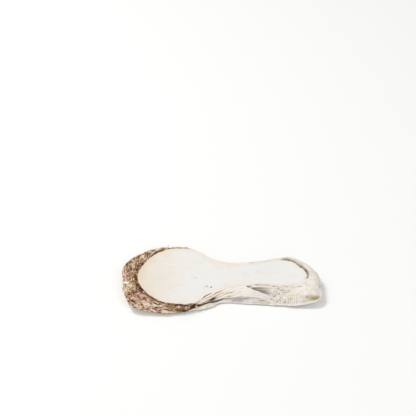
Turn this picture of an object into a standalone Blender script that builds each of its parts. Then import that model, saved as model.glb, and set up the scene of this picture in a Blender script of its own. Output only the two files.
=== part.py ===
# A dried king oyster mushroom slice: a slab cut lengthwise off the side of the mushroom, lying flat.
# Metres, +Z up. The cap points to -X and the stem's base to +X, and the smaller cut face is up.
# The natural outside of the mushroom slopes down and outward from that face to the larger cut face below.
# Origin: middle of the slice's box, on the surface that it lies on. Lengths below are in millimetres.

import bmesh
import bpy
import numpy as np

MM = 0.001

# Driving dimensions
LENGTH = 110.0  # nominal, cap's tip to the stem's base; the rows of EDGE are parts of it
HALF_WIDTH = 30.0  # half of the cap's greatest width
THICKNESS = 5.2  # height of the upper cut face in the middle of the cap
PIECE_GAP = 0.3  # between the cap and the stem

# The edge of the upper cut face, once round from the cap's tip along the front (-Y) to the base and back.
# Each row: place along the length from 0 to 1, place across in half widths, and the width of the sloping
# outside there, in half widths.
EDGE = (
    (0.074, -0.095, 0.297),
    (0.078, -0.342, 0.299),
    (0.103, -0.560, 0.357),
    (0.134, -0.725, 0.402),
    (0.195, -0.895, 0.204),
    (0.270, -0.953, 0.089),
    (0.345, -0.907, 0.040),
    (0.385, -0.798, 0.125),
    (0.419, -0.648, 0.210),
    (0.484, -0.511, 0.165),
    (0.588, -0.415, 0.275),
    (0.700, -0.365, 0.360),
    (0.820, -0.416, 0.362),
    (0.885, -0.420, 0.402),
    (0.913, -0.370, 0.445),
    (0.940, -0.232, 0.246),
    (0.943, -0.010, 0.189),
    (0.912, 0.244, 0.195),
    (0.861, 0.487, 0.159),
    (0.790, 0.530, 0.130),
    (0.709, 0.420, 0.190),
    (0.609, 0.365, 0.190),
    (0.518, 0.420, 0.130),
    (0.441, 0.565, 0.060),
    (0.386, 0.730, 0.040),
    (0.327, 0.830, 0.090),
    (0.250, 0.840, 0.140),
    (0.178, 0.715, 0.250),
    (0.127, 0.500, 0.340),
    (0.092, 0.215, 0.376),
)

# Mesh density
STATIONS = 76  # steps along the front, and again along the back
WALL_ROWS = 14  # steps down the sloping outside
RADII = (1.0, 0.97, 0.94, 0.9, 0.8, 0.65, 0.5)  # rings of each cut face, as parts of its outline
CORE_STEPS = 6  # across the middle of each cut face, inside the rings
EDGE_STEP = 0.1  # of a row of EDGE, for the curve that the stations are read from
DIRECTION_PASSES = 12  # of smoothing, for the direction in which the outside slopes away
SEARCH_STEPS = 3000  # round the edge, to find both tips
SPACING_STEPS = 400  # along one side, to space the stations evenly

# The line in the middle of the faces, towards which the rings shrink
SPINE = (-27.0, 30.0)
OPEN_WIDTH = 8.0  # the core of a section narrower than this keeps close to its rings

# Where the gills end and the stem begins: on the edge, and how far the stem's top bows into the cap
NECK_X = 11.0
NECK_BOW = 13.0
NECK_BOW_WIDTH = 21.0

# Zones along the length, as the X where each starts and the X where it is whole, and so for its end
CAP_SKIN_ZONE = (-9.0, -17.0)
GILLS_ZONE = (-14.0, -8.0, 7.0, 14.0)
STEM_SKIN_ZONE = (4.0, 14.0)
BASE_ZONE = (40.0, 48.0)
LIP_ZONE = (-2.0, 10.0, 25.0, 36.0)
HOLLOW_ZONE = (11.0, 14.0, 24.0, 31.0)
CREASE_ZONE = (-12.0, -6.0, 18.0, 26.0)
RIM_ZONE = (31.0, 36.0, 49.0, 52.0)
FRONT_ZONE = (-4.0, 2.0)  # Y where the front ends and the back begins
RIM_BACK_ZONE = (-8.5, -5.0)  # Y where the rolled rim begins

# How the slice curled as it dried: past a line across it, each end and long edge lifts with the square of
# the distance. Each row: the line's place, and the lift 10 mm past it.
CURL_REACH = 10.0
CURL_TIP = (-20.0, 0.36)
CURL_BASE = (26.0, 0.42)
CURL_BACK = (8.0, 0.55)
CURL_FRONT = (-18.0, 0.3)

# The upper cut face
FACE_RISE = (-50.0, 45.0, 1.2)  # from the cap's end to the base's end: both X, and the height gained
FACE_WAVE = 0.35  # height of its waves
FACE_WAVE_LENGTHS = (56.0, 50.0, 107.0)  # along, across, and of the slanting wave
FACE_WAVE_SLANTS = (0.27, 1.4)
FACE_SLANT_SHARE = 0.6
DROOP = (-13.0, -29.0, 15.0, 13.0, 1.9)  # of the cap's front edge: X, Y, reach along, reach across, depth

# The dried rim of the upper face, with the skin left standing round the far side of the base
RIM_ROLL = 0.6
RIM_ROLL_START = 0.95  # as a part of the outline, and so for the next places
RIM_GROOVE = 0.8
RIM_GROOVE_PLACE = (0.94, 0.025)
DRIED_EDGE = 0.25
DRIED_EDGE_START = 0.85
DRIED_DIP = 0.15
DRIED_DIP_WIDTH = 0.1

# The natural outside
SKIN_LIFT = 0.5  # of its lower edge, beside the curl
SKIN_BULGE = 0.16  # of its own width
FLAT_RADIUS = 0.7  # inside this part of its outline the lower face is flat
EDGE_BAND = 0.1  # of its width at each edge, where the crinkles fade
CAP_FOLD = (0.28, 8.5, 2.2)  # folds across the cap's skin: height, pitch, and sway in radians
CAP_ROLL = (0.3, 0.48, 1.6)  # rolls along it: height, pitch as a part of its width, and sway in radians
CAP_SWAY_LENGTHS = (44.0, 26.0, 57.0)  # of the folds' sway, the rolls' sway and the rolls' strength
CAP_SWAY_DOWN = 1.25  # of the folds' sway, as a part of the outside's width
GILL_HEIGHT = 0.42
GILL_PITCH = 0.24  # as a part of the outside's width
GILL_CLIMB = 0.02  # of that width, for each mm of length
STEM_WRINKLE = (0.25, 0.26, 38.0, 23.0)  # height, pitch as a part of the width, and length of both slants
BASE_RIDGE = (0.2, 5.6)  # height and pitch
LIP_HEIGHT = 1.9
# The crest of the fold on the stem: X, and how far down the outside it lies there
LIP_CREST = (
    (12.0, 0.0),
    (14.0, 0.2),
    (18.0, 0.41),
    (22.0, 0.55),
    (25.0, 0.6),
    (27.0, 0.67),
    (28.5, 0.82),
    (31.0, 0.97),
)
LIP_RISE = 0.05  # least width of the slope up to the crest, as a part of the outside's width
LIP_DROP = 0.22  # width of the slope behind the crest
LIP_EDGE = 0.06  # where the fold starts, below the upper face's edge
HOLLOW_DEPTH = 1.2
HOLLOW_PLACE = (0.62, 0.2)  # middle, as a part of the crest's place, and width
CREASE_DEPTH = 0.8
CREASE_WIDTH = 0.07
# Where the cap's margin ends, and the crease that carries it on along the stem: X, and how far down it lies
CREASE_LINE = (
    (-12.0, 0.54),
    (-10.6, 0.58),
    (-8.6, 0.68),
    (-4.5, 0.8),
    (1.7, 0.73),
    (10.0, 0.67),
    (15.0, 0.69),
    (20.0, 0.74),
    (26.0, 0.86),
    (32.0, 1.0),
)

# Looks
CAP_COLOUR = (0.78, 0.66, 0.52)
STEM_COLOUR = (0.86, 0.81, 0.73)
ROUGHNESS = 0.85
WELD_DISTANCE = 0.001  # points closer than this, where a section folds at a tip, become one


def ramp(value, start, end):
    """0 before start and 1 past end, turning smoothly between them; end may lie below start."""
    t = np.clip((value - start) / (end - start), 0.0, 1.0)
    return t * t * (3.0 - 2.0 * t)


def window(value, zone):
    return ramp(value, zone[0], zone[1]) * (1.0 - ramp(value, zone[2], zone[3]))


def hump(value, centre, width):
    return np.exp(-(((value - centre) / width) ** 2))


def wave(value, length, sway=0.0):
    return np.sin(2.0 * np.pi * value / length + sway)


def smooth_loop(rows, t):
    """Points of a smooth closed curve through the rows; t counts rows."""
    i = np.floor(t).astype(int)
    f = (t - i)[:, None]
    before, here, after, later = (rows[(i + k) % len(rows)] for k in (-1, 0, 1, 2))
    return 0.5 * (
        2.0 * here
        + (after - before) * f
        + (2.0 * before - 5.0 * here + 4.0 * after - later) * f**2
        + (3.0 * here - before - 3.0 * after + later) * f**3
    )


def along_loop(loop):
    """Unit vectors along a closed loop, a row for each of its points."""
    step = np.roll(loop, -1, axis=0) - np.roll(loop, 1, axis=0)
    return step / np.linalg.norm(step, axis=1)[:, None]


def edges_in_plan(t):
    """The upper face's edge and the outside's lower edge at the places t, which count rows of EDGE."""
    fine = np.arange(0, len(EDGE), EDGE_STEP)
    rows = smooth_loop(np.array(EDGE), fine)
    face = np.stack([(rows[:, 0] - 0.5) * LENGTH, rows[:, 1] * HALF_WIDTH], axis=1)
    along = along_loop(face)
    for _ in range(DIRECTION_PASSES):
        along = np.roll(along, 1, axis=0) + along + np.roll(along, -1, axis=0)
        along /= np.linalg.norm(along, axis=1)[:, None]
    out = np.stack([along[:, 1], -along[:, 0]], axis=1)
    skin = face + out * rows[:, 2:] * HALF_WIDTH

    def at_places(loop):
        return np.stack([np.interp(t, fine, loop[:, k], period=len(EDGE)) for k in (0, 1)], axis=1)

    return at_places(face), at_places(skin)


def tip_places():
    """Places of the cap's tip and of the base's: the leftmost and rightmost points of the outline."""
    t = np.linspace(0.0, len(EDGE), SEARCH_STEPS, endpoint=False)
    x = sum(edges_in_plan(t))[:, 0]
    tip, base = t[np.argmin(x)], t[np.argmax(x)]
    return (tip - len(EDGE) if tip > 0.5 * len(EDGE) else tip), base


def even_places(start, end):
    """Places from start to end that are evenly spaced along the edge, without the last."""
    t = np.linspace(start, end, SPACING_STEPS)
    middle = 0.5 * sum(edges_in_plan(t))
    run = np.concatenate([[0.0], np.cumsum(np.linalg.norm(np.diff(middle, axis=0), axis=1))])
    return np.interp(np.linspace(0.0, run[-1], STATIONS + 1)[:-1], run, t)


def curl(x, y):
    past = ((CURL_TIP, -1.0, x), (CURL_BASE, 1.0, x), (CURL_BACK, 1.0, y), (CURL_FRONT, -1.0, y))
    lift = 0.0
    for (line, amount), way, place in past:
        lift = lift + amount * (np.clip(way * (place - line), 0.0, None) / CURL_REACH) ** 2
    return lift


def face_height(x, y):
    long, wide, slanting = FACE_WAVE_LENGTHS
    turn, lean = FACE_WAVE_SLANTS
    crossing = wave(x, long, 0.6) * wave(y - turn * x, wide, 0.5 * np.pi)
    waves = crossing + FACE_SLANT_SHARE * wave(x - lean * y, slanting)
    start, end, gain = FACE_RISE
    at_x, at_y, reach_x, reach_y, depth = DROOP
    droop = depth * hump(x, at_x, reach_x) * hump(y, at_y, reach_y)
    return THICKNESS + gain * ramp(x, start, end) + FACE_WAVE * waves + curl(x, y) - droop


def rim_relief(x, y, radius):
    """The skin left standing round the far side of the base, the groove inside it, and the dried rim."""
    far_base = window(x, RIM_ZONE) * ramp(y, *RIM_BACK_ZONE)
    roll = RIM_ROLL * ramp(radius, RIM_ROLL_START, 1.0)
    groove = RIM_GROOVE * hump(radius, *RIM_GROOVE_PLACE)
    dip = DRIED_DIP * hump(radius, DRIED_EDGE_START, DRIED_DIP_WIDTH)
    return far_base * (roll - groove) + DRIED_EDGE * ramp(radius, DRIED_EDGE_START, 1.0) - dip


def lip_relief(x, v):
    """The fold of skin that rises from the crease on the stem's front and ends behind in a hollow."""
    crest = np.interp(x, *zip(*LIP_CREST))
    crease = np.interp(x, *zip(*CREASE_LINE))
    rise = 1.0 - ramp(v, crest, np.maximum(crease, crest + LIP_RISE))
    drop = 1.0 - ramp(crest - v, 0.0, LIP_DROP)
    fold = LIP_HEIGHT * window(x, LIP_ZONE) * rise * drop * ramp(v, 0.0, LIP_EDGE)
    middle, width = HOLLOW_PLACE
    hollow = HOLLOW_DEPTH * window(x, HOLLOW_ZONE) * hump(v, middle * crest, width)
    line = CREASE_DEPTH * window(x, CREASE_ZONE) * hump(v, crease, CREASE_WIDTH)
    return fold - hollow - line


def cap_relief(run, v):
    along_folds, along_rolls, along_strength = CAP_SWAY_LENGTHS
    height, pitch, sway = CAP_FOLD
    folds = height * wave(run, pitch, sway * wave(v + CAP_SWAY_DOWN * run / along_folds, CAP_SWAY_DOWN))
    height, pitch, sway = CAP_ROLL
    rolls = height * wave(v, pitch, sway * wave(run, along_rolls)) * wave(run, along_strength, 0.5 * np.pi)
    return folds + rolls


def outside_relief(x, run, v, front):
    """How far the outside stands out from its plain slope, for each point of its rows."""
    inside_edges = ramp(v, 0.0, EDGE_BAND) * (1.0 - ramp(v, 1.0 - EDGE_BAND, 1.0))
    gills = GILL_HEIGHT * wave(v + GILL_CLIMB * x, GILL_PITCH, 0.5 * np.pi)
    height, pitch, long, short = STEM_WRINKLE
    wrinkles = height * wave(v + pitch * x / long, pitch, wave(x, short))
    height, pitch = BASE_RIDGE
    ridges = height * wave(run, pitch)
    relief = ramp(x, *CAP_SKIN_ZONE) * cap_relief(run, v) + window(x, GILLS_ZONE) * gills
    relief += ramp(x, *STEM_SKIN_ZONE) * wrinkles + ramp(x, *BASE_ZONE) * ridges
    return relief * inside_edges + front * lip_relief(x, v)


def outside_rows(face_edge, skin_edge):
    """The outside as rows of points, from the upper face's edge down to the lower edge."""
    run = np.cumsum(np.linalg.norm(skin_edge - np.roll(skin_edge, 1, axis=0), axis=1))
    down = skin_edge - face_edge
    out = np.cross(down, along_loop(0.5 * (face_edge + skin_edge)))
    out /= np.linalg.norm(out, axis=1)[:, None]
    width = np.linalg.norm(down, axis=1)
    front = 1.0 - ramp(face_edge[:, 1], *FRONT_ZONE)
    rows = []
    for v in np.linspace(0.0, 1.0, WALL_ROWS + 1):
        plain = SKIN_BULGE * width * 4.0 * v * (1.0 - v)
        relief = outside_relief(face_edge[:, 0], run, v, front)
        rows.append(face_edge + down * v + out * (plain + relief)[:, None])
    return rows


def slice_sections():
    """The slice as closed section loops, one for each station from the cap's tip to the base's.

    A section runs over the upper face from front to back, down the outside, back under the lower face
    and up the outside. At both tips it folds onto itself.
    """
    count = 2 * STATIONS
    tip, base = tip_places()
    t = np.concatenate([even_places(tip, base), even_places(base, tip + len(EDGE))])
    face, skin = edges_in_plan(t)
    front = np.arange(STATIONS + 1)
    back = (count - front) % count

    middle = 0.5 * (face[front] + face[back])
    middle[:, 0] = np.clip(middle[:, 0], *SPINE)
    spine = middle[np.concatenate([front, front[-2:0:-1]])]

    def bowed(plan, radius):
        shift = NECK_BOW * hump(plan[:, 0], NECK_X, NECK_BOW_WIDTH) * (1.0 - radius**2)
        return plan - np.stack([shift, 0.0 * shift], axis=1)

    def cut_face(edge, height):
        """The rings of one cut face, and the lines of points across its middle."""
        rings = []
        for radius in RADII:
            plan = bowed(spine + (edge - spine) * radius, radius)
            rings.append(np.column_stack([plan, height(plan, radius)]))
        near, far = (spine[side] + (edge[side] - spine[side]) * RADII[-1] for side in (front, back))
        open_share = np.clip(np.linalg.norm(far - near, axis=1) / OPEN_WIDTH, 0.0, 1.0)
        lines = []
        for step in range(1, CORE_STEPS):
            share = step / CORE_STEPS
            radius = RADII[-1] * (1.0 - open_share * (1.0 - abs(1.0 - 2.0 * share)))
            plan = bowed(near + (far - near) * share, radius)
            lines.append(np.column_stack([plan, height(plan, radius)]))
        return rings, lines

    def upper(plan, radius):
        x, y = plan.T
        return face_height(x, y) + rim_relief(x, y, radius)

    def lower(plan, radius):
        return SKIN_LIFT * ramp(radius, FLAT_RADIUS, 1.0) + curl(*plan.T)

    top_rings, top_lines = cut_face(face, upper)
    low_rings, low_lines = cut_face(skin, lower)
    wall = outside_rows(top_rings[0], low_rings[0])[1:-1]

    loop = [ring[front] for ring in top_rings] + top_lines + [ring[back] for ring in top_rings[::-1]]
    loop += [row[back] for row in wall]
    loop += [ring[back] for ring in low_rings] + low_lines[::-1] + [ring[front] for ring in low_rings[::-1]]
    loop += [row[front] for row in wall[::-1]]
    return np.stack(loop, axis=1)


def make_piece(name, sections, closed_end, colour):
    """One solid from a run of sections. closed_end is the index of the section that the cut goes through."""
    stations, points = sections.shape[:2]
    mesh = bmesh.new()
    verts = [[mesh.verts.new(point * MM) for point in section] for section in sections]
    for k in range(stations - 1):
        for m in range(points):
            n = (m + 1) % points
            mesh.faces.new((verts[k][m], verts[k][n], verts[k + 1][n], verts[k + 1][m]))

    # The cut across the slice: quads from the upper line to the lower, and one face for each side's bulge
    end = verts[closed_end]
    across = 2 * len(RADII) + CORE_STEPS - 1
    low_start = across + WALL_ROWS - 1
    for m in range(across - 1):
        low = low_start + across - 1 - m
        mesh.faces.new((end[m], end[m + 1], end[low - 1], end[low]))
    mesh.faces.new(end[across - 1 : low_start + 1])
    mesh.faces.new(end[low_start + across - 1 :] + end[:1])

    bmesh.ops.remove_doubles(mesh, verts=mesh.verts, dist=WELD_DISTANCE * MM)
    bmesh.ops.triangulate(mesh, faces=mesh.faces)
    bmesh.ops.recalc_face_normals(mesh, faces=mesh.faces)
    data = bpy.data.meshes.new(name)
    mesh.to_mesh(data)
    mesh.free()
    data.shade_smooth()
    data.materials.append(make_material(name, colour))
    piece = bpy.data.objects.new(name, data)
    bpy.context.scene.collection.objects.link(piece)
    return piece


def make_material(name, colour):
    material = bpy.data.materials.new(name)
    material.use_nodes = True
    shader = material.node_tree.nodes["Principled BSDF"]
    shader.inputs["Base Color"].default_value = (*colour, 1.0)
    shader.inputs["Roughness"].default_value = ROUGHNESS
    shader.inputs["Metallic"].default_value = 0.0
    return material


def main():
    for old in list(bpy.data.objects):
        bpy.data.objects.remove(old)

    sections = slice_sections()
    low, high = sections.min(axis=(0, 1)), sections.max(axis=(0, 1))
    sections -= np.array([0.5 * (low[0] + high[0]), 0.5 * (low[1] + high[1]), low[2]])

    rim_x = sections[:, 0, 0]
    neck = int(np.argmin(abs(rim_x - NECK_X)))
    half_gap = np.array([0.5 * PIECE_GAP, 0.0, 0.0])
    cap = sections[: neck + 1].copy()
    cap[-1] -= half_gap
    stem = sections[neck:].copy()
    stem[0] += half_gap
    make_piece("cap", cap, -1, CAP_COLOUR)
    make_piece("stem", stem, 0, STEM_COLOUR)


main()
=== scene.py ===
import math

import bpy
import numpy as np
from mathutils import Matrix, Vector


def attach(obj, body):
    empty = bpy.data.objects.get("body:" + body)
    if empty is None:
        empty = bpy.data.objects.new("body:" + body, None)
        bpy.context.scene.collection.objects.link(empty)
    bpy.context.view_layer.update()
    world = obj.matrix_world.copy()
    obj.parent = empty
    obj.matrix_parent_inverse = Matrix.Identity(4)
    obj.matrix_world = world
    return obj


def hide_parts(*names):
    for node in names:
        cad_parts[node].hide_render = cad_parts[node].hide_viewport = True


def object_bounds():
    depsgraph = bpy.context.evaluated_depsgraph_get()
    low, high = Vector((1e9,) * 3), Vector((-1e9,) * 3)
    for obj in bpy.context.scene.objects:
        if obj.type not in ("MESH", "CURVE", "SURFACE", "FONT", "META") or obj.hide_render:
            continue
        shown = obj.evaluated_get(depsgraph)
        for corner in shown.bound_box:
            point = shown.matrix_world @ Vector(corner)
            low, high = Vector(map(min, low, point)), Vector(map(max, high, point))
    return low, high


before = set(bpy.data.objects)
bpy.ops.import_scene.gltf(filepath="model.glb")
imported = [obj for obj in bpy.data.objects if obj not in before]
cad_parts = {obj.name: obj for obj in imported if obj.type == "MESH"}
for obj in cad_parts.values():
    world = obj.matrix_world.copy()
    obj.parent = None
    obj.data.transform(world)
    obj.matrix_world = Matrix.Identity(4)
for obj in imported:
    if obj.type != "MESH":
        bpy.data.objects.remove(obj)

# A dried king oyster mushroom slice. Lengths in the dictionaries are in millimetres, unless a note says
# otherwise.
mm = 0.001
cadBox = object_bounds()
print("frame loaded:", ", ".join(sorted(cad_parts)))


# The slice as a whole: the same outline, curl and fold as the solids, with the fine relief added
sliceForm = {
    "length": 110.0,  # cap's tip to the stem's base
    "halfWidth": 30.0,  # half of the cap's greatest width
    "thickness": 5.2,  # height of the upper cut face in the middle of the cap
    # edge of the upper cut face, once round from the cap's tip along the front: place along the length,
    # place across in half widths, width of the sloping outside in half widths
    "edge": (
        (0.074, -0.095, 0.297), (0.078, -0.342, 0.299), (0.103, -0.560, 0.357),
        (0.134, -0.725, 0.402), (0.195, -0.895, 0.204), (0.270, -0.953, 0.089),
        (0.345, -0.907, 0.040), (0.385, -0.798, 0.125), (0.419, -0.648, 0.210),
        (0.484, -0.511, 0.165), (0.588, -0.415, 0.275), (0.700, -0.365, 0.360),
        (0.820, -0.416, 0.362), (0.885, -0.420, 0.402), (0.913, -0.370, 0.445),
        (0.940, -0.232, 0.246), (0.943, -0.010, 0.189), (0.912, 0.244, 0.195),
        (0.861, 0.487, 0.159), (0.790, 0.530, 0.130), (0.709, 0.420, 0.190),
        (0.609, 0.365, 0.190), (0.518, 0.420, 0.130), (0.441, 0.565, 0.060),
        (0.386, 0.730, 0.040), (0.327, 0.830, 0.090), (0.250, 0.840, 0.140),
        (0.178, 0.715, 0.250), (0.127, 0.500, 0.340), (0.092, 0.215, 0.376),
    ),
    "edgeStep": 0.1,  # in rows of the edge
    "evenings": 12,  # how often the edge's direction is evened out at that step
    # raggedness of the upper and the lower edge: depth, size and seed
    "raggedFace": ((0.22, 2.6, 71),),
    "raggedSkin": ((0.45, 5.0, 73), (0.25, 1.7, 79)),
    "raggedReach": 0.85,  # the part of the radius at which it has died out
    "spine": (-27.0, 30.0),  # the line in the middle of the faces, towards which their rings shrink
    "neckX": 11.0,  # where the gills end on the edge
    "neckBow": (13.0, 21.0),  # how far the stem's top bows into the cap, and how wide
    # curl as it dried, at the tip, the base, the back and the front: a line across it, and the lift 10 mm
    # past that line
    "curl": ((-20.0, 0.36), (26.0, 0.42), (8.0, 0.55), (-18.0, 0.30)),
    "faceRise": (-50.0, 45.0, 1.2),  # from the cap's end to the base's end, and the height gained
    "faceWave": 0.35,
    "faceWaveLengths": (56.0, 50.0, 107.0),  # along, across, and of the slanting wave
    "faceWaveStarts": (0.6, 0.5 * math.pi),  # of the first two
    "faceWaveSlants": (0.27, 1.4),
    "faceSlantShare": 0.6,
    # droop of the cap's front edge: its middle, reach along and across, and depth
    "droop": (-13.0, -29.0, 15.0, 13.0, 1.9),
    "frontZone": (-4.0, 2.0),  # Y over which the front turns into the back
    "skinLift": 0.5,  # of the outside's lower edge, beside the curl
    "skinBulge": 0.16,  # of the outside's own width
    "reliefStart": 0.5,  # how far below the upper edge the outside's relief is whole
    "reliefEnd": (0.93, 1.0, 0.6),  # places down between which it fades, and by how much
    "flatRadius": 0.7,  # inside this part of its outline the lower face is flat
    "underFibre": (14.0, 1.4, 83, 0.06),  # length, width, seed and height of the lower face's fibres
    # mesh density
    "samples": (3000, 400),  # to find the tips, and to space the stations
    "stations": 620,  # steps along the front, and again along the back
    "wallRows": 56,
    "rings": 18,
    "ringSpread": 1.7,  # above 1 they crowd at the edge
    "coreRadius": 0.5,
    "coreSteps": 20,
    "coreOpening": 8.0,  # width of the core from which on it is a strip of its own
}


def ramp(value, start, end):
    # 0 before start and 1 past end, turning smoothly between; end may lie below start
    t = np.clip((value - start) / (end - start), 0.0, 1.0)
    return t * t * (3.0 - 2.0 * t)


def window(value, zone):
    # 1 inside a zone of four values: where it starts, is whole, starts to fade and has ended
    return ramp(value, zone[0], zone[1]) * (1.0 - ramp(value, zone[2], zone[3]))


def hump(value, centre, width):
    return np.exp(-(((value - centre) / width) ** 2))


def between(least, most, share):
    return least + (most - least) * share


def wave(value, length, sway=0.0):
    return np.sin(2.0 * np.pi * value / length + sway)


def latticeNoise(u, w, seed, period=1 << 20):
    # smooth noise from -1 to 1 on a grid of whole numbers; u comes round again after period
    iu, iw = np.floor(u).astype(np.int64), np.floor(w).astype(np.int64)
    fu, fw = (f**3 * (f * (f * 6 - 15) + 10) for f in (u - iu, w - iw))
    primeU, primeW, primeSeed, primeLast, low32 = 374761393, 668265263, 982451653, 1274126177, 0xFFFFFFFF

    def corner(du, dw):
        h = (((iu + du) % period) * primeU + (iw + dw) * primeW + seed * primeSeed) & low32
        h = ((h ^ (h >> 13)) * primeLast) & low32
        return (h ^ (h >> 16)) / 2.0**31 - 1.0

    near = between(corner(0, 0), corner(1, 0), fu)
    far = between(corner(0, 1), corner(1, 1), fu)
    return between(near, far, fw)


def layeredNoise(u, w, seed, layers=3, period=1 << 20):
    total, weight = 0.0, 0.0
    for layer in range(layers):
        scale = 2**layer
        total = total + latticeNoise(u * scale, w * scale, seed + layer, period * scale) / scale
        weight += 1.0 / scale
    return total / weight


def smoothLoop(rows, t):
    # points of a smooth closed curve through the rows; t counts rows
    i = np.floor(t).astype(int)
    f = (t - i)[:, None]
    before, here, after, later = (rows[(i + k) % len(rows)] for k in (-1, 0, 1, 2))
    return 0.5 * (
        2.0 * here
        + (after - before) * f
        + (2.0 * before - 5.0 * here + 4.0 * after - later) * f**2
        + (3.0 * here - before - 3.0 * after + later) * f**3
    )


def alongLoop(loop):
    step = np.roll(loop, -1, axis=0) - np.roll(loop, 1, axis=0)
    return step / np.linalg.norm(step, axis=1)[:, None]


def outward(along):
    return np.stack([along[:, 1], -along[:, 0]], axis=1)


def edgesInPlan(t):
    # the upper face's edge and the outside's lower edge at places t, which count rows of the edge
    form = sliceForm
    rowCount = len(form["edge"])
    fine = np.arange(0, rowCount, form["edgeStep"])
    rows = smoothLoop(np.array(form["edge"]), fine)
    face = np.stack([(rows[:, 0] - 0.5) * form["length"], rows[:, 1] * form["halfWidth"]], axis=1)
    along = alongLoop(face)
    for _ in range(form["evenings"]):
        along = np.roll(along, 1, axis=0) + along + np.roll(along, -1, axis=0)
        along /= np.linalg.norm(along, axis=1)[:, None]
    skin = face + outward(along) * rows[:, 2:] * form["halfWidth"]

    def atPlaces(loop):
        return np.stack([np.interp(t, fine, loop[:, k], period=rowCount) for k in (0, 1)], axis=1)

    return atPlaces(face), atPlaces(skin)


def tipPlaces():
    # places of the cap's tip and the base's, the leftmost and rightmost points of the outline
    rowCount = len(sliceForm["edge"])
    fine = np.linspace(0.0, rowCount, sliceForm["samples"][0], endpoint=False)
    x = sum(edgesInPlan(fine))[:, 0]
    wrapped = fine[np.argmin(x)]
    return wrapped - rowCount * (wrapped > rowCount / 2), fine[np.argmax(x)]


def evenPlaces(start, end):
    t = np.linspace(start, end, sliceForm["samples"][1])
    middle = 0.5 * sum(edgesInPlan(t))
    run = np.concatenate([[0.0], np.cumsum(np.linalg.norm(np.diff(middle, axis=0), axis=1))])
    return np.interp(np.linspace(0.0, run[-1], sliceForm["stations"] + 1)[:-1], run, t)


def curl(x, y):
    lift = 0.0
    for way, place, (line, amount) in zip((-1, 1, 1, -1), (x, x, y, y), sliceForm["curl"]):
        lift = lift + amount * (np.clip(way * (place - line), 0.0, None) / 10.0) ** 2
    return lift


# The cut faces: flesh that shrank along its fibres, with a dried rim
cutFace = {
    # length, width, slant along the slice, seed and height
    "fibre": (16.0, 1.1, 0.04, 11, 0.05),
    "ripple": (11.0, 4.0, 0.05, 17, 0.16),
    "rim": (1.5, 0.22, 0.7),  # width, height, and how uneven it is
    # the skin left standing round the far side of the base: its zones along X and Y, width and height
    "rollZone": (31.0, 36.0, 49.0, 52.0),
    "rollStart": (-8.5, -5.0),
    "roll": (0.4, 0.5),
    # the groove beside it: how far in, width and depth, and how far noise moves these
    "groove": (1.0, 0.6, 0.85),
    "grooveSway": (0.15, 0.35, 0.3),
    "grooveMean": 0.85,  # share of its depth that it mostly has
    "unevenness": ((4.0, 7), (2.2, 9), (3.0, 5)),  # size and seed: of the groove's place, its depth, the rim
    "lineZone": (17.0, 19.5, 25.0, 28.0),  # of a shallow line along its front edge
    "lineStart": (0.0, -2.0),  # Y over which it starts, towards the front
    "line": (0.5, 0.26, 0.4),  # how far in it lies, its width and its depth
}


def faceRelief(x, y, inset):
    # the upper face's height over its smooth form, and its share of the groove's colour: the skin's olive
    # beside the base, darkened as painted shade, and painted shade along the shallow front line
    part = cutFace
    relief = 0.0
    for long, wide, slant, seed, height in (part["fibre"], part["ripple"]):
        relief = relief + height * latticeNoise(x / long, y / wide + slant * x, seed)
    sway, deepness, rim = (latticeNoise(x / size, y / size, seed) for size, seed in part["unevenness"])
    width, height, uneven = part["rim"]
    relief = relief + height * np.exp(-inset / width) * (1.0 + uneven * rim)
    farBase = window(x, part["rollZone"]) * ramp(y, *part["rollStart"])
    width, height = part["roll"]
    relief = relief + farBase * height * hump(inset, 0.0, width)
    at, width, depth = part["groove"]
    placeSway, widthSway, depthSway = part["grooveSway"]
    groove = hump(inset, at + placeSway * sway, width * (1.0 + widthSway * sway))
    groove = farBase * groove * (part["grooveMean"] + depthSway * deepness)
    at, width, lineDepth = part["line"]
    line = window(x, part["lineZone"]) * ramp(y, *part["lineStart"]) * hump(inset, at, width)
    return relief - depth * groove - lineDepth * line, np.maximum(groove, line)


def upperHeight(x, y):
    form = sliceForm
    long, wide, slanting = form["faceWaveLengths"]
    startX, startY = form["faceWaveStarts"]
    turn, lean = form["faceWaveSlants"]
    crossing = wave(x, long, startX) * wave(y - turn * x, wide, startY)
    waves = crossing + form["faceSlantShare"] * wave(x - lean * y, slanting)
    start, end, gain = form["faceRise"]
    atX, atY, reachX, reachY, depth = form["droop"]
    droop = depth * hump(x, atX, reachX) * hump(y, atY, reachY)
    return form["thickness"] + gain * ramp(x, start, end) + form["faceWave"] * waves + curl(x, y) - droop


def noiseDown(place, size, across, seed, layers=2, slant=0.0):
    # noise on the outside: lumps size long round the slice and across wide down its side
    cells = max(4, int(round(place["perimeter"] / size)))
    u = place["run"] / place["perimeter"] * cells
    return layeredNoise(u, place["down"] / across + slant * u, seed, layers, cells)


def lumps(noise, sharpness=0.65, gain=2.4):
    # turns noise into rounded lumps with sharp creases between: 0 in a crease, 1 on a lump
    return np.clip(np.abs(noise) * gain, 0.0, 1.0) ** sharpness


def strands(noise, thinness=3.2):
    # turns noise into thin ridges: 1 on a ridge, 0 between
    return np.clip(1.0 - np.abs(noise) * thinness, 0.0, 1.0)


def patchy(place, mean, swing, least, most, *noise):
    # a strength that noise moves by swing about its mean, held between least and most; the dictionaries give
    # these four, then the noise's length, width and seed
    return np.clip(mean + swing * noiseDown(place, *noise), least, most)


def spots(place, rows):
    # rows of X, Y, reach along X and along Y, and an amount: their sum at each point of the outside
    total = 0.0
    for x, y, reachX, reachY, amount in rows:
        total = total + amount * hump(place["planX"], x, reachX) * hump(place["planY"], y, reachY)
    return total


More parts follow.
